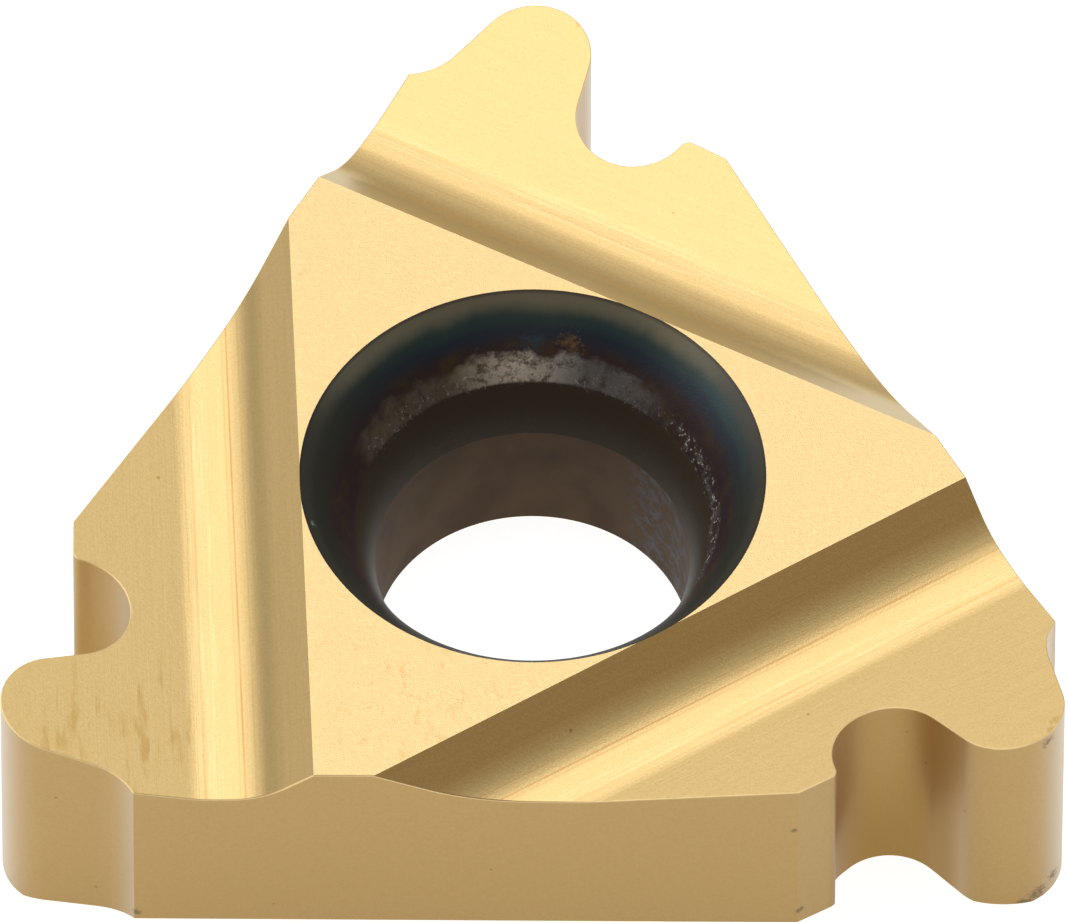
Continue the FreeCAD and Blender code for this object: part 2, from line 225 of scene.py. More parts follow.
def prism(name, outline, start, end, place=Matrix()):
    """A closed outline drawn out from start to end."""
    shape = bmesh.new()
    rings = [[shape.verts.new((x, y, height)) for x, y in outline] for height in (start, end)]
    shape.faces.new(list(reversed(rings[0])))
    shape.faces.new(rings[1])
    count = len(outline)
    for step in range(count):
        after = (step + 1) % count
        shape.faces.new((rings[0][step], rings[0][after], rings[1][after], rings[1][step]))
    shape.transform(place)
    bmesh.ops.recalc_face_normals(shape, faces=shape.faces)
    return finished(name, shape)


def turned(name, profile):
    """A profile of radius and height, turned about the hole axis. Its two ends lie on the axis."""
    shape = bmesh.new()
    ends = [shape.verts.new((0, 0, profile[0][1])), shape.verts.new((0, 0, profile[-1][1]))]
    rings = []
    for radius, height in profile[1:-1]:
        circle = [on_circle((0, 0), radius, 360 * step / HOLE_STEPS) for step in range(HOLE_STEPS)]
        rings.append([shape.verts.new((x, y, height)) for x, y in circle])
    for step in range(HOLE_STEPS):
        after = (step + 1) % HOLE_STEPS
        shape.faces.new((ends[0], rings[0][step], rings[0][after]))
        shape.faces.new((ends[1], rings[-1][after], rings[-1][step]))
        for inner, outer in zip(rings, rings[1:]):
            shape.faces.new((inner[step], outer[step], outer[after], inner[after]))
    bmesh.ops.recalc_face_normals(shape, faces=shape.faces)
    return finished(name, shape)


def finished(name, shape):
    """Makes an object of a shape."""
    mesh = bpy.data.meshes.new(name)
    shape.to_mesh(mesh)
    shape.free()
    piece = bpy.data.objects.new(name, mesh)
    bpy.context.scene.collection.objects.link(piece)
    return piece


def blank():
    """The block with its three teeth, before the grooves and the hole are cut."""
    piece = prism("coated_insert", insert_outline(), 0, THICKNESS)
    for face in piece.data.polygons:
        if face.normal.z > FACING:
            face.material_index = FINISHES.index("pressed_top")
        elif face.normal.z < -FACING:
            face.material_index = FINISHES.index("ground_seat")
        else:
            face.material_index = FINISHES.index("coated_wall")
    return piece


def painted(piece, finish):
    """Gives every face of a cutter the finish that its cut leaves."""
    for face in piece.data.polygons:
        face.material_index = FINISHES.index(finish)
    return piece


def groove_cutter(corner):
    """What the wheel takes out of one chip groove and off its rake face."""
    fall = math.radians(GROOVE_WALL_ANGLE)
    climb = math.radians(RAKE_ANGLE)
    tilt = math.radians(BOTTOM_ANGLE)
    middle = THICKNESS - GROOVE_DEPTH + GROOVE_RADIUS
    foot = GROOVE_OFFSET + (THICKNESS - middle + GROOVE_RADIUS * math.cos(fall)) / math.tan(fall)
    rake_foot = (foot + GROOVE_RADIUS * (math.sin(fall) + math.sin(climb)),
                 middle - GROOVE_RADIUS * math.cos(climb))
    crease = (RAKE_START, rake_foot[1] + (RAKE_START - rake_foot[0]) * math.tan(climb))
    wall_side = THICKNESS + GROOVE_OFFSET * math.tan(fall) + FOOT_RADIUS / math.cos(fall)
    bottom_side = crease[1] - crease[0] * math.tan(tilt) + FOOT_RADIUS / math.cos(tilt)
    centre_x = (wall_side - bottom_side) / (math.tan(fall) + math.tan(tilt))
    centre = (centre_x, wall_side - centre_x * math.tan(fall))
    half_turn = (climb - tilt) / 2
    lift_off = CREASE_RADIUS / math.cos(half_turn)
    crease_centre = (crease[0] - lift_off * math.sin(tilt + half_turn),
                     crease[1] + lift_off * math.cos(tilt + half_turn))
    # One round between the wall and the bottom, and one between the bottom and the rake face
    bottom = (arc(centre, FOOT_RADIUS, 270 - GROOVE_WALL_ANGLE, 270 + BOTTOM_ANGLE)
              + arc(crease_centre, CREASE_RADIUS, 270 + BOTTOM_ANGLE, 270 + RAKE_ANGLE))
    top_end = crease[1] + (LONG - crease[0]) * math.tan(climb)
    above = THICKNESS + 2 * OVERSHOOT
    lift = OVERSHOOT * math.tan(fall)
    section = ([(GROOVE_OFFSET - OVERSHOOT, THICKNESS + lift)] + bottom
               + [(LONG, top_end), (LONG, above), (GROOVE_OFFSET - OVERSHOOT, above)])
    place = section_frame(GROOVE_DIRECTION + CORNER_STEP * corner)
    return painted(prism("groove_cutter", section, -LONG, LONG, place), "ground_groove")


def bevel_cutter(distance, angle, start):
    """The three sided waste under a face that stands at a distance from the hole axis."""
    slope = BEVEL_HEIGHT / BEVEL_WIDTH
    outer = distance + OVERSHOOT
    section = [(distance - BEVEL_WIDTH - OVERSHOOT / slope, -OVERSHOOT), (outer, -OVERSHOOT),
               (outer, BEVEL_HEIGHT + OVERSHOOT * slope)]
    return painted(prism("bevel_cutter", section, start, LONG, section_frame(angle)), "coated_wall")


def hole_cutter():
    """The straight hole and the curved recess above it."""
    chord = Vector((MOUTH_RADIUS - HOLE_RADIUS, THICKNESS - STRAIGHT_DEPTH))
    middle = Vector((HOLE_RADIUS + MOUTH_RADIUS, THICKNESS + STRAIGHT_DEPTH)) / 2
    stand_off = math.sqrt(RECESS_CURVE ** 2 - (chord.length / 2) ** 2)
    centre = middle + Vector((chord.y, -chord.x)).normalized() * stand_off
    first = math.degrees(math.atan2(STRAIGHT_DEPTH - centre.y, HOLE_RADIUS - centre.x)) % 360
    last = math.degrees(math.atan2(THICKNESS - centre.y, MOUTH_RADIUS - centre.x)) % 360
    above = THICKNESS + OVERSHOOT
    profile = ([(0, -OVERSHOOT), (HOLE_RADIUS, -OVERSHOOT)] + arc(centre, RECESS_CURVE, first, last)
               + [(MOUTH_RADIUS, above), (0, above)])
    return painted(turned("hole_cutter", profile), "dark_hole")


def cut(piece, cutters):
    """Takes the cutters out of a piece and deletes them."""
    for cutter in cutters:
        modifier = piece.modifiers.new(cutter.name, "BOOLEAN")
        modifier.operation = "DIFFERENCE"
        modifier.solver = "EXACT"
        modifier.object = cutter
    settle(piece)
    for cutter in cutters:
        bpy.data.objects.remove(cutter)


def settle(piece):
    """Applies a piece's modifiers to its mesh."""
    seen = piece.evaluated_get(bpy.context.evaluated_depsgraph_get())
    mesh = bpy.data.meshes.new_from_object(seen)
    piece.modifiers.clear()
    piece.data = mesh


def hone(piece):
    """Rounds the cutting edges by a hair, and smooths the shading of what is round."""
    mesh = piece.data
    faces = {}
    for face in mesh.polygons:
        for key in face.edge_keys:
            faces.setdefault(key, []).append(face)
    weights = mesh.attributes.new("bevel_weight_edge", "FLOAT", "EDGE")
    for edge in mesh.edges:
        finishes = {FINISHES[face.material_index] for face in faces[edge.key]}
        on_top = all(mesh.vertices[end].co.z > GROOVE_FLOOR for end in edge.vertices)
        weights.data[edge.index].value = float(on_top and len(finishes) > 1 and "coated_wall" in finishes)
    bevel = piece.modifiers.new("hone", "BEVEL")
    bevel.width = HONE_WIDTH
    bevel.segments = HONE_STEPS
    bevel.limit_method = "WEIGHT"
    bevel.use_clamp_overlap = False
    bevel.material = FINISHES.index("honed_edge")
    settle(piece)
    piece.data.shade_smooth()
    piece.data.set_sharp_from_angle(angle=math.radians(SHARP_ANGLE))
    normals = piece.modifiers.new("even_shading", "WEIGHTED_NORMAL")
    normals.weight = LARGE_FACE_WEIGHT
    normals.keep_sharp = True
    settle(piece)


def make_insert(materials):
    """The insert, cut as the real one is and finished with its coating."""
    piece = blank()
    for finish in FINISHES:
        piece.data.materials.append(materials[finish])
    cutters = [hole_cutter()]
    for corner in range(CORNERS):
        turn = CORNER_STEP * corner
        cutters.append(groove_cutter(corner))
        cutters.append(bevel_cutter(SIDE, SIDE_TURN + turn, -LONG))
        cutters.append(bevel_cutter(LAND_REACH, TOOTH_TURN + turn, notch_middle()[0]))
    for cutter in cutters:
        for finish in FINISHES:
            cutter.data.materials.append(materials[finish])
    cut(piece, cutters)
    hone(piece)
    piece.data.transform(Matrix.Scale(MM, 4))
    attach(piece, "root")
    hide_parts(NODE)
    return piece


# Finishes, in the order of the insert's material slots
FINISHES = ["pressed_top", "ground_groove", "coated_wall", "ground_seat", "dark_hole", "honed_edge"]

# Colours, as linear red, green and blue
GOLD = (0.80, 0.558, 0.245, 1)
GOLD_BRIGHT = (0.89, 0.658, 0.314, 1)
GOLD_SHADE = (0.70, 0.483, 0.188, 1)
TOP_BRIGHT = (0.94, 0.705, 0.355, 1)
TOP_SHADE = (0.77, 0.545, 0.240, 1)
TOP_PATCH = (0.78, 0.500, 0.200, 1)
# The sides' golds are darker than the top's: partly the coating's own tint, partly painted shade
SHADED_WALL_GOLD = (0.612, 0.424, 0.178, 1)
SHADED_WALL_DARK = (0.540, 0.362, 0.144, 1)
EDGE_GOLD = (0.88, 0.660, 0.330, 1)
# Painted sheen colours, for faces seen at a grazing angle
PAINTED_SHEEN_PALE = (0.86, 0.780, 0.660, 1)
PAINTED_SHEEN_GOLD = (0.72, 0.590, 0.335, 1)
# Painted shade inside the notches
NOTCH_PAINTED_SHADE = (0.480, 0.280, 0.065, 1)
LINE_BROWN = (0.62, 0.330, 0.110, 1)
STREAK_BROWN = (0.60, 0.370, 0.110, 1)
SPECK_BROWN = (0.36, 0.200, 0.080, 1)
SMUDGE_GREY = (0.17, 0.125, 0.080, 1)
FILM_OLIVE = (0.250, 0.245, 0.175, 1)
FILM_DARK = (0.055, 0.056, 0.044, 1)
FILM_TEAL = (0.034, 0.078, 0.086, 1)
FILM_BLUE = (0.028, 0.046, 0.080, 1)
FILM_PURPLE = (0.060, 0.038, 0.045, 1)
FILM_BROWN = (0.095, 0.064, 0.036, 1)
SMOOTH_BROWN = (0.076, 0.061, 0.038, 1)
BORE_BROWN = (0.145, 0.080, 0.030, 1)
BORE_DARK = (0.100, 0.053, 0.019, 1)
BORE_GREY = (0.150, 0.145, 0.155, 1)
ROUGH_GREY = (1.000, 0.950, 0.860, 1)
CRUST_BROWN = (0.600, 0.530, 0.430, 1)
CRUST_OLIVE = (0.330, 0.290, 0.190, 1)
CRUST_BLUE = (0.400, 0.430, 0.430, 1)
# Painted glint highlights in the recess
PAINTED_GLINT_WHITE = (0.900, 0.880, 0.840, 1)

# How metallic and how rough the finishes are
GOLD_METAL = 1.0
FILM_METAL = 0.25
TOP_ROUGHNESS = 0.36
GROUND_ROUGHNESS = 0.29
WALL_ROUGHNESS = 0.42
EDGE_ROUGHNESS = 0.38
FILM_ROUGHNESS = 0.40
BORE_ROUGHNESS = 0.62

# Depths of the bumps, in millimetres
TOP_GRAIN_DEPTH = 0.0014
GROUND_GRAIN_DEPTH = 0.0006
WALL_GRAIN_DEPTH = 0.0005
LINE_DEPTH = 0.0008
CRUST_DEPTH = 0.006

# How many marks a millimetre holds
TOP_GRAIN = 24.0
GROUND_GRAIN = 26.0
WALL_GRAIN = 20.0
HOLE_GRAIN = 12.0
SPECK_COUNT = 4.0
SMUDGE_COUNT = 16.0
PATCH_COUNT = 9.0
MOTTLE_COUNT = 4.0
LINE_COUNT = 30.0
BREAK_COUNT = 1.1
WANDER_COUNT = 40.0
STREAK_COUNT = 6.0
WAVER_COUNT = 1.2
BLOTCH_COUNT = 2.6
FLAKE_COUNT = 6.0
BORE_CLOUD_COUNT = 1.3
BORE_GREY_COUNT = 5.0
GLINT_COUNT = 19.0

# Below, a band is where a value starts and stops to count, then the strengths at those two ends.
# A side is an angle from +X round the hole, then the half widths in degrees where it is gone and full.

# The grain, the specks and the smudges that several finishes share
FINE_RATIO = 2.7
GRAIN_BAND = (0.7, 1.3)
SPECK_BAND = (0.07, 0.13, 1.0, 0.0)
SPECK_STRENGTH = 0.55
TOP_SPECK_SHARE = 0.03
WALL_SPECK_SHARE = 0.05
SMUDGE_RAGGED = 3.0
SMUDGE_BAND = (1.6, 2.3, 1.0, 0.0)
SMUDGE_STRENGTH = 0.7

# Smudges on the insert: a place in millimetres and a radius
TOP_SMUDGES = [((6.64, -3.68, 3.37), 0.15), ((6.56, -3.84, 3.37), 0.10), ((0.54, 7.34, 3.37), 0.07)]
WALL_SMUDGES = [((6.53, -3.93, 3.22), 0.13), ((6.42, -4.02, 0.12), 0.20), ((6.63, -3.80, 0.24), 0.17),
                ((6.25, -4.10, 0.06), 0.14),
                ((3.42, -4.76, 0.72), 0.10), ((3.34, -4.76, 2.42), 0.07), ((-4.99, -4.76, 0.60), 0.10)]

# The pressed top: its grain, its patches, the orange mottling below the hole, and a painted highlight,
# the light line where a groove cuts into it
TOP_TONES = (0.0, 1.0, 0.32, 0.74)
PATCH_BAND = (0.62, 0.74, 0.0, 0.45)
WORN_MIDDLE = (-1.6, -3.6, 3.52)
WORN_BAND = (0.5, 1.9, 0.75, 0.06)
MOTTLE_STRETCH = (1.5, 0.7, 1.0)
MOTTLE_BAND = (0.53, 0.68)
PAINTED_EDGE_HIGHLIGHT = (GROOVE_OFFSET - 0.02, GROOVE_OFFSET, 0.0, 0.6)

# The wheel's lines in the grooves: how far they are drawn out, and how far from the hole they are
# strongest, with the softness of that zone
LINE_DRAW = 0.012
LINE_BAND = (0.36, 0.64)
LINE_ZONE = (4.08, 4.42, 0.08)
LINE_STRENGTHS = (0.28, 1.0)
GRAIN_SHARE = 0.35
LINE_SHARE = 0.45
GROUND_TONE = 0.16

# The brown lines, most of them in the left groove
BREAK_STRETCH = (1.0, 40.0, 1.0)
BREAK_BAND = (0.4, 0.6)
SCORED_SIDE = (GROOVE_DIRECTION + CORNER_STEP, 75, 50)
SCORED_MORE = 0.05
BROWN_BAND = (0.62, 0.70)
BROWN_STRENGTH = 0.75

# The few deep lines, as distances from the hole axis and strengths, fainter in the back groove
DEEP_LINES = [(3.655, 0.25), (3.80, 0.8), (3.86, 0.3), (4.30, 0.45)]
DEEP_LINE_EDGE = (0.005, 0.017)
DEEP_LINE_BREAKS = (0.6, 1.0)
PLAIN_SIDE = (GROOVE_DIRECTION, 80, 50)
PLAIN_STRENGTHS = (1.0, 0.3)
WANDER = 0.006

# The streaks on the left tooth, which start past its groove
STREAK_DRAW = 0.16
STREAK_BAND = (0.52, 0.69)
STREAK_FROM = (4.3, 4.5)
STREAK_MIDDLE = (-5.15, -3.9, 3.1)
STREAK_REACH = (0.7, 1.7, 0.66, 0.03)

# Painted sheen: where a face is seen at a grazing angle, its gold is painted paler
GROOVE_PAINTED_SHEEN = (0.55, 0.68, 0.0, 0.8)
WALL_PAINTED_SHEEN = (0.42, 0.92, 0.0, 0.75)

# The walls, and the painted shade that darkens and browns them inside the notches, most near the seat
WALL_TONES = (0.0, 1.0, 0.3, 0.7)
NOTCH_SHADE_BAND = (NOTCH_RADIUS + 0.02, NOTCH_RADIUS + 0.18, 1.0, 0.0)
NOTCH_SHADE_HEIGHTS = (0.3, 2.6, 0.75, 0.38)

# Heights in the hole, in millimetres, where one look gives way to the next
BORE_TOP = (STRAIGHT_DEPTH - 0.01, STRAIGHT_DEPTH + 0.01, 1.0, 0.0)
SMOOTH_TOP = (2.46, 2.51, 1.0, 0.0)
CRUST_FOOT = (2.47, 2.53)
CRUST_TOP = (2.74, 2.90, 1.0, 0.0)
GLINT_HEIGHTS = (2.49, 2.69, 0.07)
PURPLE_TO_BLUE = (2.90, 3.10)
BLUE_TO_TEAL = (3.10, 3.24)
TEAL_TO_OLIVE = (3.24, 3.44)
RIM_BAND = (THICKNESS - 0.05, THICKNESS - 0.01, 0.0, 0.6)

# The film's colours: how much the bands waver, and on which side they are strong
WAVER = 0.16
PURPLE_BAND = (0.45, 0.70)
FILM_SIDE = (75, 95, 30)
OLIVE_SIDE = (96, 76, 35)
OLIVE_STRENGTHS = (0.12, 1.0)

# Stains in the film: a place in millimetres, a radius and a colour
HOLE_STAINS = [((-0.05, 2.46, 3.02), 0.26, (0.045, 0.085, 0.150, 1)),
               ((0.46, 2.44, 3.02), 0.24, (0.230, 0.150, 0.070, 1)),
               ((-2.83, -0.30, 3.46), 0.05, (0.700, 0.700, 0.720, 1)),
               ((-2.76, -0.70, 3.44), 0.07, (0.600, 0.600, 0.620, 1)),
               ((2.62, 0.70, 3.10), 0.05, (0.700, 0.700, 0.700, 1))]

# The crust: the sides that it lies on and how thick it is there, its ragged top, and its colours
CRUST_SIDES = [((96, 30, 8), 1.0), ((82, 40, 20), 0.45), ((125, 34, 24), 0.42)]
CRUST_RAGGED = 0.55
FLAKE_BAND = (0.34, 0.52, 0.30, 1.0)
CRUST_GRAIN_SHARE = 0.5
CRUST_FLAKE_SHARE = 0.9
CRUST_TONES = (0.35, 0.85)
BLUE_CRUST_SIDE = (45, 50, 25)
OLIVE_CRUST_SIDE = (145, 50, 25)
CRUST_BUMPS = (0.15, 1.0)

# The bore: its clouded brown, and a greyed patch on its right
BORE_CLOUD_BAND = (0.35, 0.70)
BORE_GREY_SIDE = (30, 26, 8)
BORE_GREY_BAND = (0.42, 0.62)

# Painted glints, small highlights on the right of the recess and in the crust, with a haze between them
GLINT_SIDE = (8, 44, 20)
GLINT_CRUST_SHARE = 0.7
GLINT_BAND = (0.60, 0.66)
HAZE_BAND = (0.46, 0.66, 0.0, 0.35)


class Nodes:
    """Short ways to add nodes to one material or group."""

    def __init__(self, tree):
        self.tree = tree

    def add(self, kind, *values, **settings):
        """A node with its settings, and its inputs in order. None leaves an input alone."""
        node = self.tree.nodes.new("ShaderNode" + kind)
        for name, value in settings.items():
            setattr(node, name, value)
        for socket, value in zip(node.inputs, values):
            self.feed(socket, value)
        return node

    def feed(self, socket, value):
        """Sets an input, or links it where the value is another node's output."""
        if isinstance(value, bpy.types.NodeSocket):
            self.tree.links.new(value, socket)
        elif value is not None:
            socket.default_value = value

    def fill(self, node, values):
        """Sets or links a node's inputs by name."""
        for name, value in values.items():
            self.feed(node.inputs[name], value)
        return node

    def math(self, operation, first, second=None):
        return self.add("Math", first, second, operation=operation).outputs[0]

    def plus(self, first, second):
        return self.math("ADD", first, second)

    def less(self, first, second):
        return self.math("SUBTRACT", first, second)

    def times(self, first, *others):
        """The product of two or more values."""
        for other in others:
            first = self.math("MULTIPLY", first, other)
        return first

    def vector(self, operation, first, second=None):
        return self.add("VectorMath", first, second, operation=operation)

    def dot(self, first, second):
        return self.vector("DOT_PRODUCT", first, second).outputs["Value"]

    def distance(self, first, second):
        return self.vector("DISTANCE", first, second).outputs["Value"]

    def scaled(self, place, scale):
        """A place with each axis stretched by its own factor."""
        return self.vector("MULTIPLY", place, scale).outputs[0]

    def mix(self, factor, first, second):
        """Goes from one colour to another."""
        node = self.add("Mix", data_type="RGBA", blend_type="MIX")
        for name, value in (("Factor_Float", factor), ("A_Color", first), ("B_Color", second)):
            self.feed(next(socket for socket in node.inputs if socket.identifier == name), value)
        return next(socket for socket in node.outputs if socket.identifier == "Result_Color")

    def band(self, value, first, last, low=0.0, high=1.0):
        """Goes smoothly from low to high while the value goes from first to last."""
        node = self.add("MapRange", value, first, last, low, high, interpolation_type="SMOOTHSTEP")
        return node.outputs[0]

    def between(self, value, low, high, soft):
        """One between two values and nothing outside them, with soft ends."""
        rise = self.band(value, low - soft, low + soft)
        return self.times(rise, self.band(value, high - soft, high + soft, 1.0, 0.0))

    def noise(self, place, scale, detail=2.0, roughness=0.5):
        node = self.add("TexNoise", noise_dimensions="3D")
        values = {"Vector": place, "Scale": scale, "Detail": detail, "Roughness": roughness}
        return self.fill(node, values).outputs[0]

    def millimetres(self):
        """The place on the insert in millimetres."""
        return self.scaled(self.add("TexCoord").outputs["Object"], (1 / MM, 1 / MM, 1 / MM))

    def bump(self, height, depth, over=None):
        """A surface normal from a height, over another one if given. The depth is in millimetres."""
        values = {"Height": height, "Distance": depth * MM, "Strength": 1.0, "Normal": over}
        return self.fill(self.add("Bump"), values).outputs["Normal"]

    def group(self, tree, **values):
        """Places a node group, with its inputs by name, and gives its outputs."""
        node = self.tree.nodes.new("ShaderNodeGroup")
        node.node_tree = tree
        return self.fill(node, values).outputs


def new_group(name, inputs, outputs):
    """An empty node group, the helper that adds to it, what comes in and what goes out."""
    tree = bpy.data.node_groups.new(name, "ShaderNodeTree")
    for way, sockets in (("INPUT", inputs), ("OUTPUT", outputs)):
        for socket, kind in sockets.items():
            tree.interface.new_socket(name=socket, in_out=way, socket_type="NodeSocket" + kind)
    given = tree.nodes.new("NodeGroupInput").outputs
    result = tree.nodes.new("NodeGroupOutput").inputs
    return tree, Nodes(tree), given, result


def groove_run():
    """Across: how far a place lies from the hole towards its groove. Along: how far along the groove."""
    tree, nodes, given, result = new_group("groove_run", {"Place": "Vector"},
                                           {"Across": "Float", "Along": "Float"})
    acrosses = []
    alongs = []
    for corner in range(CORNERS):
        turn = math.radians(GROOVE_DIRECTION + CORNER_STEP * corner)
        acrosses.append(nodes.dot(given["Place"], (math.cos(turn), math.sin(turn), 0)))
        alongs.append(nodes.dot(given["Place"], (-math.sin(turn), math.cos(turn), 0)))
    furthest = nodes.math("MAXIMUM", nodes.math("MAXIMUM", acrosses[0], acrosses[1]), acrosses[2])
    nearly = nodes.less(furthest, HAIR)
    total = 0.0
    for across, along in zip(acrosses, alongs):
        chosen = nodes.math("GREATER_THAN", across, nearly)
        total = nodes.plus(total, nodes.times(along, chosen))
    nodes.feed(result["Across"], furthest)
    nodes.feed(result["Along"], total)
    return tree


def fine_grain():
    """The grain of the coating: a tone from zero to one that is also its height."""
    tree, nodes, given, result = new_group("fine_grain", {"Place": "Vector", "Count": "Float"},
                                           {"Tone": "Float"})
    coarse = nodes.noise(given["Place"], given["Count"], roughness=0.6)
    fine = nodes.noise(given["Place"], nodes.times(given["Count"], FINE_RATIO), detail=1.0)
    nodes.feed(result["Tone"], nodes.band(nodes.plus(coarse, fine), *GRAIN_BAND))
    return tree


def rust_specks():
    """Tiny brown specks, scattered."""
    tree, nodes, given, result = new_group("rust_specks", {"Place": "Vector", "Share": "Float"},
                                           {"Mask": "Float"})
    cells = nodes.add("TexVoronoi", voronoi_dimensions="3D", feature="F1")
    nodes.fill(cells, {"Vector": given["Place"], "Scale": SPECK_COUNT})
    spot = nodes.band(cells.outputs["Distance"], *SPECK_BAND)
    draw = nodes.add("SeparateColor", cells.outputs["Color"]).outputs[0]
    nodes.feed(result["Mask"], nodes.times(spot, nodes.math("LESS_THAN", draw, given["Share"])))
    return tree


def smudge():
    """A ragged blot round one place."""
    tree, nodes, given, result = new_group(
        "smudge", {"Place": "Vector", "Middle": "Vector", "Radius": "Float"}, {"Mask": "Float"})
    away = nodes.math("DIVIDE", nodes.distance(given["Place"], given["Middle"]), given["Radius"])
    rough = nodes.noise(given["Place"], SMUDGE_COUNT, detail=4.0, roughness=0.75)
    ragged = nodes.plus(away, nodes.times(rough, SMUDGE_RAGGED))
    nodes.feed(result["Mask"], nodes.band(ragged, *SMUDGE_BAND))
    return tree


def new_material(name, metallic, roughness):
    """A material with one Principled shader, the helper that adds to it, and the shader's inputs."""
    material = bpy.data.materials.new(name)
    material.use_nodes = True
    shader = material.node_tree.nodes["Principled BSDF"]
    shader.inputs["Metallic"].default_value = metallic
    shader.inputs["Roughness"].default_value = roughness
    return material, Nodes(material.node_tree), shader.inputs


def with_specks(nodes, groups, place, colour, share):
    """A colour with a few brown specks over it."""
    mask = nodes.group(groups["rust_specks"], Place=place, Share=share)["Mask"]
    return nodes.mix(nodes.times(mask, SPECK_STRENGTH), colour, SPECK_BROWN)


def with_smudges(nodes, groups, place, colour, smudges, mark):
    """A colour with the insert's dark marks over it."""
    for middle, radius in smudges:
        mask = nodes.group(groups["smudge"], Place=place, Middle=middle, Radius=radius)["Mask"]
        colour = nodes.mix(nodes.times(mask, SMUDGE_STRENGTH), colour, mark)
    return colour


def towards(nodes, place, angle, wide, narrow):
    """One on the side of the hole that lies at an angle, fading between two half widths in degrees."""
    flat = nodes.vector("NORMALIZE", nodes.scaled(place, (1.0, 1.0, 0.0))).outputs[0]
    turn = math.radians(angle)
    near = nodes.dot(flat, (math.cos(turn), math.sin(turn), 0))
    return nodes.band(near, math.cos(math.radians(wide)), math.cos(math.radians(narrow)))


def pressed_top(groups):
    """The pressed face round the hole: warm satin, with a speckled grain."""
    material, nodes, shader = new_material("pressed_top", GOLD_METAL, TOP_ROUGHNESS)
    place = nodes.millimetres()
    grain = nodes.group(groups["fine_grain"], Place=place, Count=TOP_GRAIN)["Tone"]
    across = nodes.group(groups["groove_run"], Place=place)["Across"]
    colour = nodes.mix(nodes.band(grain, *TOP_TONES), TOP_SHADE, TOP_BRIGHT)
    patchy = nodes.band(nodes.noise(place, PATCH_COUNT, detail=3.0, roughness=0.7), *PATCH_BAND)
    colour = nodes.mix(patchy, colour, TOP_PATCH)
    worn = nodes.band(nodes.distance(place, WORN_MIDDLE), *WORN_BAND)
    stretched = nodes.scaled(place, MOTTLE_STRETCH)
    mottle = nodes.band(nodes.noise(stretched, MOTTLE_COUNT, detail=5.0, roughness=0.7), *MOTTLE_BAND)
    colour = nodes.mix(nodes.times(mottle, worn), colour, TOP_PATCH)
    # Painted highlight: a thin light line along each edge where a groove cuts into the top
    colour = nodes.mix(nodes.band(across, *PAINTED_EDGE_HIGHLIGHT), colour, EDGE_GOLD)
    colour = with_specks(nodes, groups, place, colour, TOP_SPECK_SHARE)
    nodes.feed(shader["Base Color"], with_smudges(nodes, groups, place, colour, TOP_SMUDGES, STREAK_BROWN))
    nodes.feed(shader["Normal"], nodes.bump(grain, TOP_GRAIN_DEPTH))
    return material


def drawn_out(nodes, run, share):
    """A place for noise whose marks run along the groove: the smaller the share, the longer they are."""
    return nodes.add("CombineXYZ", run["Across"], nodes.times(run["Along"], share), 0.0).outputs[0]


def with_deep_lines(nodes, place, run, stretched, broken, colour):
    """A colour with the wheel's few deep lines over it."""
    plain = nodes.band(towards(nodes, place, *PLAIN_SIDE), 0.0, 1.0, *PLAIN_STRENGTHS)
    wander = nodes.times(nodes.less(nodes.noise(stretched, WANDER_COUNT), 0.5), WANDER)
    across = nodes.plus(run["Across"], wander)
    strength = nodes.times(nodes.band(broken, 0.0, 1.0, *DEEP_LINE_BREAKS), plain)
    for middle, depth in DEEP_LINES:
        away = nodes.math("ABSOLUTE", nodes.less(across, middle))
        line = nodes.band(away, *DEEP_LINE_EDGE, depth, 0.0)
        colour = nodes.mix(nodes.times(line, strength), colour, LINE_BROWN)
    return colour


def with_streaks(nodes, place, run, colour):
    """A colour with the brown streaks of the left tooth over it."""
    rough = nodes.noise(drawn_out(nodes, run, STREAK_DRAW), STREAK_COUNT, detail=3.0, roughness=0.6)
    left = nodes.band(nodes.distance(place, STREAK_MIDDLE), *STREAK_REACH)
    stained = nodes.times(nodes.band(rough, *STREAK_BAND), nodes.band(run["Across"], *STREAK_FROM), left)
    return nodes.mix(stained, colour, STREAK_BROWN)


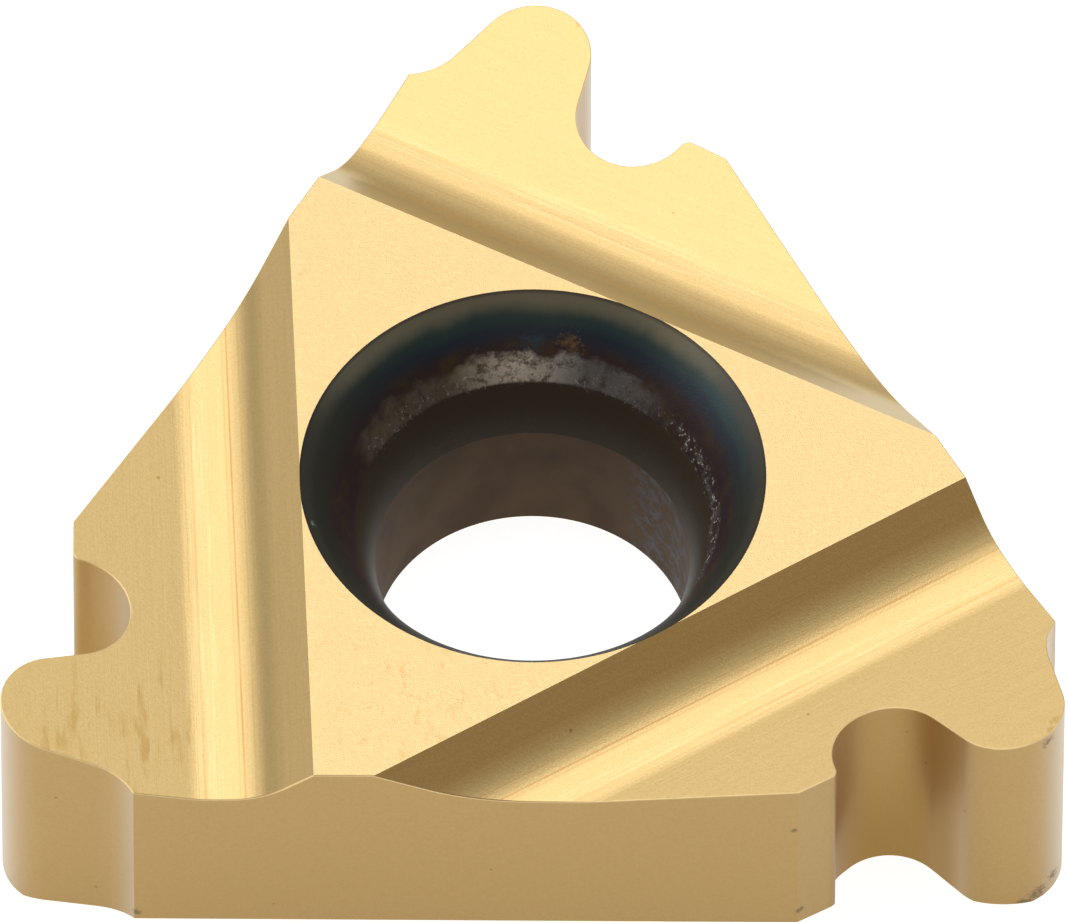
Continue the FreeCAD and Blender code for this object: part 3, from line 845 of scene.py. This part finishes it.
def ground_groove(groups):
    """The ground rake faces and chip grooves, with the wheel's lines along each groove."""
    material, nodes, shader = new_material("ground_groove", GOLD_METAL, GROUND_ROUGHNESS)
    place = nodes.millimetres()
    run = nodes.group(groups["groove_run"], Place=place)
    grain = nodes.group(groups["fine_grain"], Place=place, Count=GROUND_GRAIN)["Tone"]
    stretched = drawn_out(nodes, run, LINE_DRAW)
    lines = nodes.noise(stretched, LINE_COUNT, detail=3.0, roughness=0.65)
    zone = nodes.between(run["Across"], *LINE_ZONE)
    height = nodes.times(nodes.band(lines, *LINE_BAND), nodes.band(zone, 0.0, 1.0, *LINE_STRENGTHS))
    tone = nodes.plus(nodes.times(grain, GRAIN_SHARE), nodes.times(height, LINE_SHARE))
    colour = nodes.mix(nodes.plus(tone, GROUND_TONE), GOLD_SHADE, GOLD_BRIGHT)
    broken = nodes.band(nodes.noise(nodes.scaled(stretched, BREAK_STRETCH), BREAK_COUNT), *BREAK_BAND)
    scored = nodes.times(towards(nodes, place, *SCORED_SIDE), SCORED_MORE)
    brown = nodes.times(nodes.band(nodes.plus(lines, scored), *BROWN_BAND), zone, broken)
    colour = nodes.mix(nodes.times(brown, BROWN_STRENGTH), colour, LINE_BROWN)
    colour = with_deep_lines(nodes, place, run, stretched, broken, colour)
    # Painted sheen: paler gold where the groove is seen at a grazing angle
    grazing = nodes.add("LayerWeight").outputs["Facing"]
    colour = nodes.mix(nodes.band(grazing, *GROOVE_PAINTED_SHEEN), colour, PAINTED_SHEEN_GOLD)
    colour = with_streaks(nodes, place, run, colour)
    colour = with_specks(nodes, groups, place, colour, TOP_SPECK_SHARE)
    nodes.feed(shader["Base Color"], with_smudges(nodes, groups, place, colour, TOP_SMUDGES, STREAK_BROWN))
    nodes.feed(shader["Normal"], nodes.bump(height, LINE_DEPTH, nodes.bump(grain, GROUND_GRAIN_DEPTH)))
    return material


def notch_painted_shade(nodes, place):
    """Painted shade: how far a place lies inside one of the notches, more so towards the seat."""
    flat = nodes.scaled(place, (1.0, 1.0, 0.0))
    nearest = LONG
    for corner in range(CORNERS):
        middle = corner_turn(corner) @ Vector(notch_middle())
        nearest = nodes.math("MINIMUM", nodes.distance(flat, (middle.x, middle.y, 0)), nearest)
    height = nodes.add("SeparateXYZ", place).outputs["Z"]
    return nodes.times(nodes.band(nearest, *NOTCH_SHADE_BAND), nodes.band(height, *NOTCH_SHADE_HEIGHTS))


def coated_wall(groups, name, colours, roughness, smudges):
    """The coated sides and the seat: an even satin, a little darker than the top, on the sides partly by
    the coating's tint and partly by painted shade.
    """
    material, nodes, shader = new_material(name, GOLD_METAL, roughness)
    place = nodes.millimetres()
    grain = nodes.group(groups["fine_grain"], Place=place, Count=WALL_GRAIN)["Tone"]
    colour = nodes.mix(nodes.band(grain, *WALL_TONES), *colours)
    # Painted sheen: paler gold where the wall is seen at a grazing angle
    grazing = nodes.add("LayerWeight").outputs["Facing"]
    colour = nodes.mix(nodes.band(grazing, *WALL_PAINTED_SHEEN), colour, PAINTED_SHEEN_PALE)
    # Painted shade: darker, browner walls inside the notches, most near the seat
    colour = nodes.mix(notch_painted_shade(nodes, place), colour, NOTCH_PAINTED_SHADE)
    colour = with_specks(nodes, groups, place, colour, WALL_SPECK_SHARE)
    nodes.feed(shader["Base Color"], with_smudges(nodes, groups, place, colour, smudges, SMUDGE_GREY))
    nodes.feed(shader["Normal"], nodes.bump(grain, WALL_GRAIN_DEPTH))
    return material


def heat_film(nodes, groups, place, height, level, blotch):
    """The film in the recess: purple and brown low down, then blue, teal and olive, and its stains."""
    strong = towards(nodes, place, *FILM_SIDE)
    olive = nodes.band(towards(nodes, place, *OLIVE_SIDE), 0.0, 1.0, *OLIVE_STRENGTHS)
    film = nodes.mix(nodes.band(blotch, *PURPLE_BAND), FILM_PURPLE, FILM_BROWN)
    for heights, side, shade in ((PURPLE_TO_BLUE, strong, FILM_BLUE), (BLUE_TO_TEAL, strong, FILM_TEAL),
                                 (TEAL_TO_OLIVE, olive, FILM_OLIVE)):
        film = nodes.mix(nodes.band(level, *heights), film, nodes.mix(side, FILM_DARK, shade))
    film = nodes.mix(nodes.band(height, *RIM_BAND), film, FILM_PURPLE)
    for middle, radius, stain in HOLE_STAINS:
        mask = nodes.group(groups["smudge"], Place=place, Middle=middle, Radius=radius)["Mask"]
        film = nodes.mix(mask, film, stain)
    return film


def crust_place(nodes, place):
    """How thick the crust may lie on each side of the hole."""
    thick = 0.0
    for side, share in CRUST_SIDES:
        thick = nodes.math("MAXIMUM", thick, nodes.times(towards(nodes, place, *side), share))
    return thick


def crust_tint(nodes, place, grain, flakes):
    """The crust's colour: grey over brown, bluer on its right and olive on its left."""
    rough = nodes.plus(nodes.times(grain, CRUST_GRAIN_SHARE), nodes.times(flakes, CRUST_FLAKE_SHARE))
    tint = nodes.mix(nodes.band(rough, *CRUST_TONES), CRUST_BROWN, ROUGH_GREY)
    tint = nodes.mix(towards(nodes, place, *BLUE_CRUST_SIDE), tint, CRUST_BLUE)
    return nodes.mix(towards(nodes, place, *OLIVE_CRUST_SIDE), tint, CRUST_OLIVE)


def bore_tint(nodes, place):
    """The bore's colour: clouded brown, with a greyed patch on its right."""
    cloud = nodes.band(nodes.noise(place, BORE_CLOUD_COUNT), *BORE_CLOUD_BAND)
    mottle = nodes.band(nodes.noise(place, BORE_GREY_COUNT, detail=4.0, roughness=0.7), *BORE_GREY_BAND)
    grey = nodes.times(towards(nodes, place, *BORE_GREY_SIDE), mottle)
    return nodes.mix(grey, nodes.mix(cloud, BORE_BROWN, BORE_DARK), BORE_GREY)


def with_painted_glints(nodes, place, level, flakes, back, colour):
    """A colour with painted glints, the bright highlights of the recess, over it, and a haze between them.
    """
    side = nodes.math("MAXIMUM", towards(nodes, place, *GLINT_SIDE), nodes.times(back, GLINT_CRUST_SHARE))
    zone = nodes.times(nodes.between(level, *GLINT_HEIGHTS), side)
    colour = nodes.mix(nodes.times(zone, nodes.band(flakes, *HAZE_BAND)), colour, CRUST_BLUE)
    # Painted highlights: small white glints
    glints = nodes.band(nodes.noise(place, GLINT_COUNT, roughness=0.6), *GLINT_BAND)
    return nodes.mix(nodes.times(glints, zone), colour, PAINTED_GLINT_WHITE)


def dark_hole(groups):
    """The hole: a dark heat film in coloured bands, a rough grey crust, and a smooth brown bore."""
    material, nodes, shader = new_material("dark_hole", FILM_METAL, FILM_ROUGHNESS)
    place = nodes.millimetres()
    height = nodes.add("SeparateXYZ", place).outputs["Z"]
    uneven = nodes.noise(place, WAVER_COUNT, detail=3.0, roughness=0.6)
    level = nodes.plus(height, nodes.times(nodes.less(uneven, 0.5), WAVER))
    grain = nodes.group(groups["fine_grain"], Place=place, Count=HOLE_GRAIN)["Tone"]
    blotch = nodes.noise(place, BLOTCH_COUNT, detail=4.0, roughness=0.65)
    flakes = nodes.noise(place, FLAKE_COUNT, detail=5.0, roughness=0.75)
    film = heat_film(nodes, groups, place, height, level, blotch)

    ragged = nodes.plus(height, nodes.times(nodes.less(blotch, 0.5), CRUST_RAGGED))
    ring = nodes.times(nodes.band(height, *CRUST_FOOT), nodes.band(ragged, *CRUST_TOP))
    back = crust_place(nodes, place)
    crust = nodes.times(ring, back, nodes.band(flakes, *FLAKE_BAND))
    colour = nodes.mix(crust, film, crust_tint(nodes, place, grain, flakes))
    colour = nodes.mix(nodes.band(height, *SMOOTH_TOP), colour, SMOOTH_BROWN)
    bore = nodes.band(height, *BORE_TOP)
    colour = nodes.mix(bore, colour, bore_tint(nodes, place))
    nodes.feed(shader["Base Color"], with_painted_glints(nodes, place, level, flakes, back, colour))
    nodes.feed(shader["Roughness"], nodes.band(bore, 0.0, 1.0, FILM_ROUGHNESS, BORE_ROUGHNESS))
    bumps = nodes.times(grain, nodes.band(crust, 0.0, 1.0, *CRUST_BUMPS))
    nodes.feed(shader["Normal"], nodes.bump(bumps, CRUST_DEPTH))
    return material


def honed_edge():
    """The thin bright line of a honed cutting edge."""
    material, _, shader = new_material("honed_edge", GOLD_METAL, EDGE_ROUGHNESS)
    shader["Base Color"].default_value = EDGE_GOLD
    return material


def make_materials():
    """Every finish of the insert, by name."""
    groups = {"groove_run": groove_run(), "fine_grain": fine_grain(), "rust_specks": rust_specks(),
              "smudge": smudge()}
    wall_shades = (SHADED_WALL_DARK, SHADED_WALL_GOLD)
    seat_shades = (GOLD_SHADE, GOLD)
    return {
        "pressed_top": pressed_top(groups),
        "ground_groove": ground_groove(groups),
        "coated_wall": coated_wall(groups, "coated_wall", wall_shades, WALL_ROUGHNESS, WALL_SMUDGES),
        "ground_seat": coated_wall(groups, "ground_seat", seat_shades, GROUND_ROUGHNESS, []),
        "dark_hole": dark_hole(groups),
        "honed_edge": honed_edge(),
    }


def tent_direction(azimuth, elevation):
    """A direction in the tent, with azimuth from straight behind the insert towards its right."""
    turn = math.radians(azimuth)
    rise = math.radians(elevation)
    return (math.sin(turn) * math.cos(rise), math.cos(turn) * math.cos(rise), math.sin(rise))


def light_tent():
    """Soft light from all round: a tent, brighter in some parts, with one large panel above."""
    world = bpy.data.worlds.new("light_tent")
    world.use_nodes = True
    bpy.context.scene.world = world
    nodes = Nodes(world.node_tree)
    background = world.node_tree.nodes["Background"]
    direction = nodes.add("TexCoord").outputs["Generated"]
    strength = 0.0
    for azimuth, elevation, glow in TENT_GLOWS:
        facing = nodes.dot(direction, tent_direction(azimuth, elevation))
        fall = nodes.times(nodes.less(facing, 1.0), TENT_FALL)
        strength = nodes.plus(strength, nodes.times(nodes.math("POWER", math.e, fall), glow))
    edges = [math.cos(math.radians(PANEL_RADIUS + way * PANEL_SOFT)) for way in (1, -1)]
    panel = nodes.band(nodes.dot(direction, tent_direction(*PANEL_PLACE)), *edges, 0.0, PANEL_GLOW)
    nodes.feed(background.inputs["Strength"], nodes.plus(strength, panel))
    front = nodes.band(nodes.dot(direction, (0, -1, 0)), *WARM_BAND)
    nodes.feed(background.inputs["Color"], nodes.mix(front, TENT_WHITE, TENT_WARM))


def pale_floor():
    """A wide pale floor, which isn't part of the insert."""
    outline = [on_circle((0, 0), FLOOR_RADIUS, 360 / FLOOR_STEPS * step) for step in range(FLOOR_STEPS)]
    floor = prism("pale_floor", outline, FLOOR_UNDERSIDE, FLOOR_TOP)
    floor.data.transform(Matrix.Scale(MM, 4))
    material, nodes, shader = new_material("pale_floor", 0.0, FLOOR_ROUGHNESS)
    shader["Base Color"].default_value = FLOOR_GREY
    seen = nodes.add("LightPath").outputs["Is Camera Ray"]
    nodes.feed(shader["Emission Color"], nodes.mix(seen, FLOOR_GLOW, FLOOR_WHITE))
    shader["Emission Strength"].default_value = 1.0
    floor.data.materials.append(material)


def place_camera():
    """The camera at the photograph's angle, far away behind a long lens."""
    camera = bpy.data.cameras.new("camera")
    camera.lens = camera.sensor_width * CAMERA_DISTANCE / PICTURE_WIDTH
    camera.clip_start = CLIP_START
    camera.clip_end = CLIP_END
    elevation = math.radians(CAMERA_ELEVATION)
    azimuth = math.radians(CAMERA_AZIMUTH)
    stand = Vector((math.sin(azimuth) * math.cos(elevation), -math.cos(azimuth) * math.cos(elevation),
                    math.sin(elevation)))
    view = bpy.data.objects.new("camera", camera)
    view.location = (Vector(CAMERA_AIM) + stand * CAMERA_DISTANCE) * MM
    roll = Matrix.Rotation(math.radians(CAMERA_ROLL), 4, "Z").to_quaternion()
    view.rotation_euler = (stand.to_track_quat("Z", "Y") @ roll).to_euler()
    bpy.context.scene.collection.objects.link(view)
    bpy.context.scene.camera = view


bpy.context.scene.view_settings.view_transform = "Standard"
place_camera()
light_tent()
pale_floor()
make_insert(make_materials())
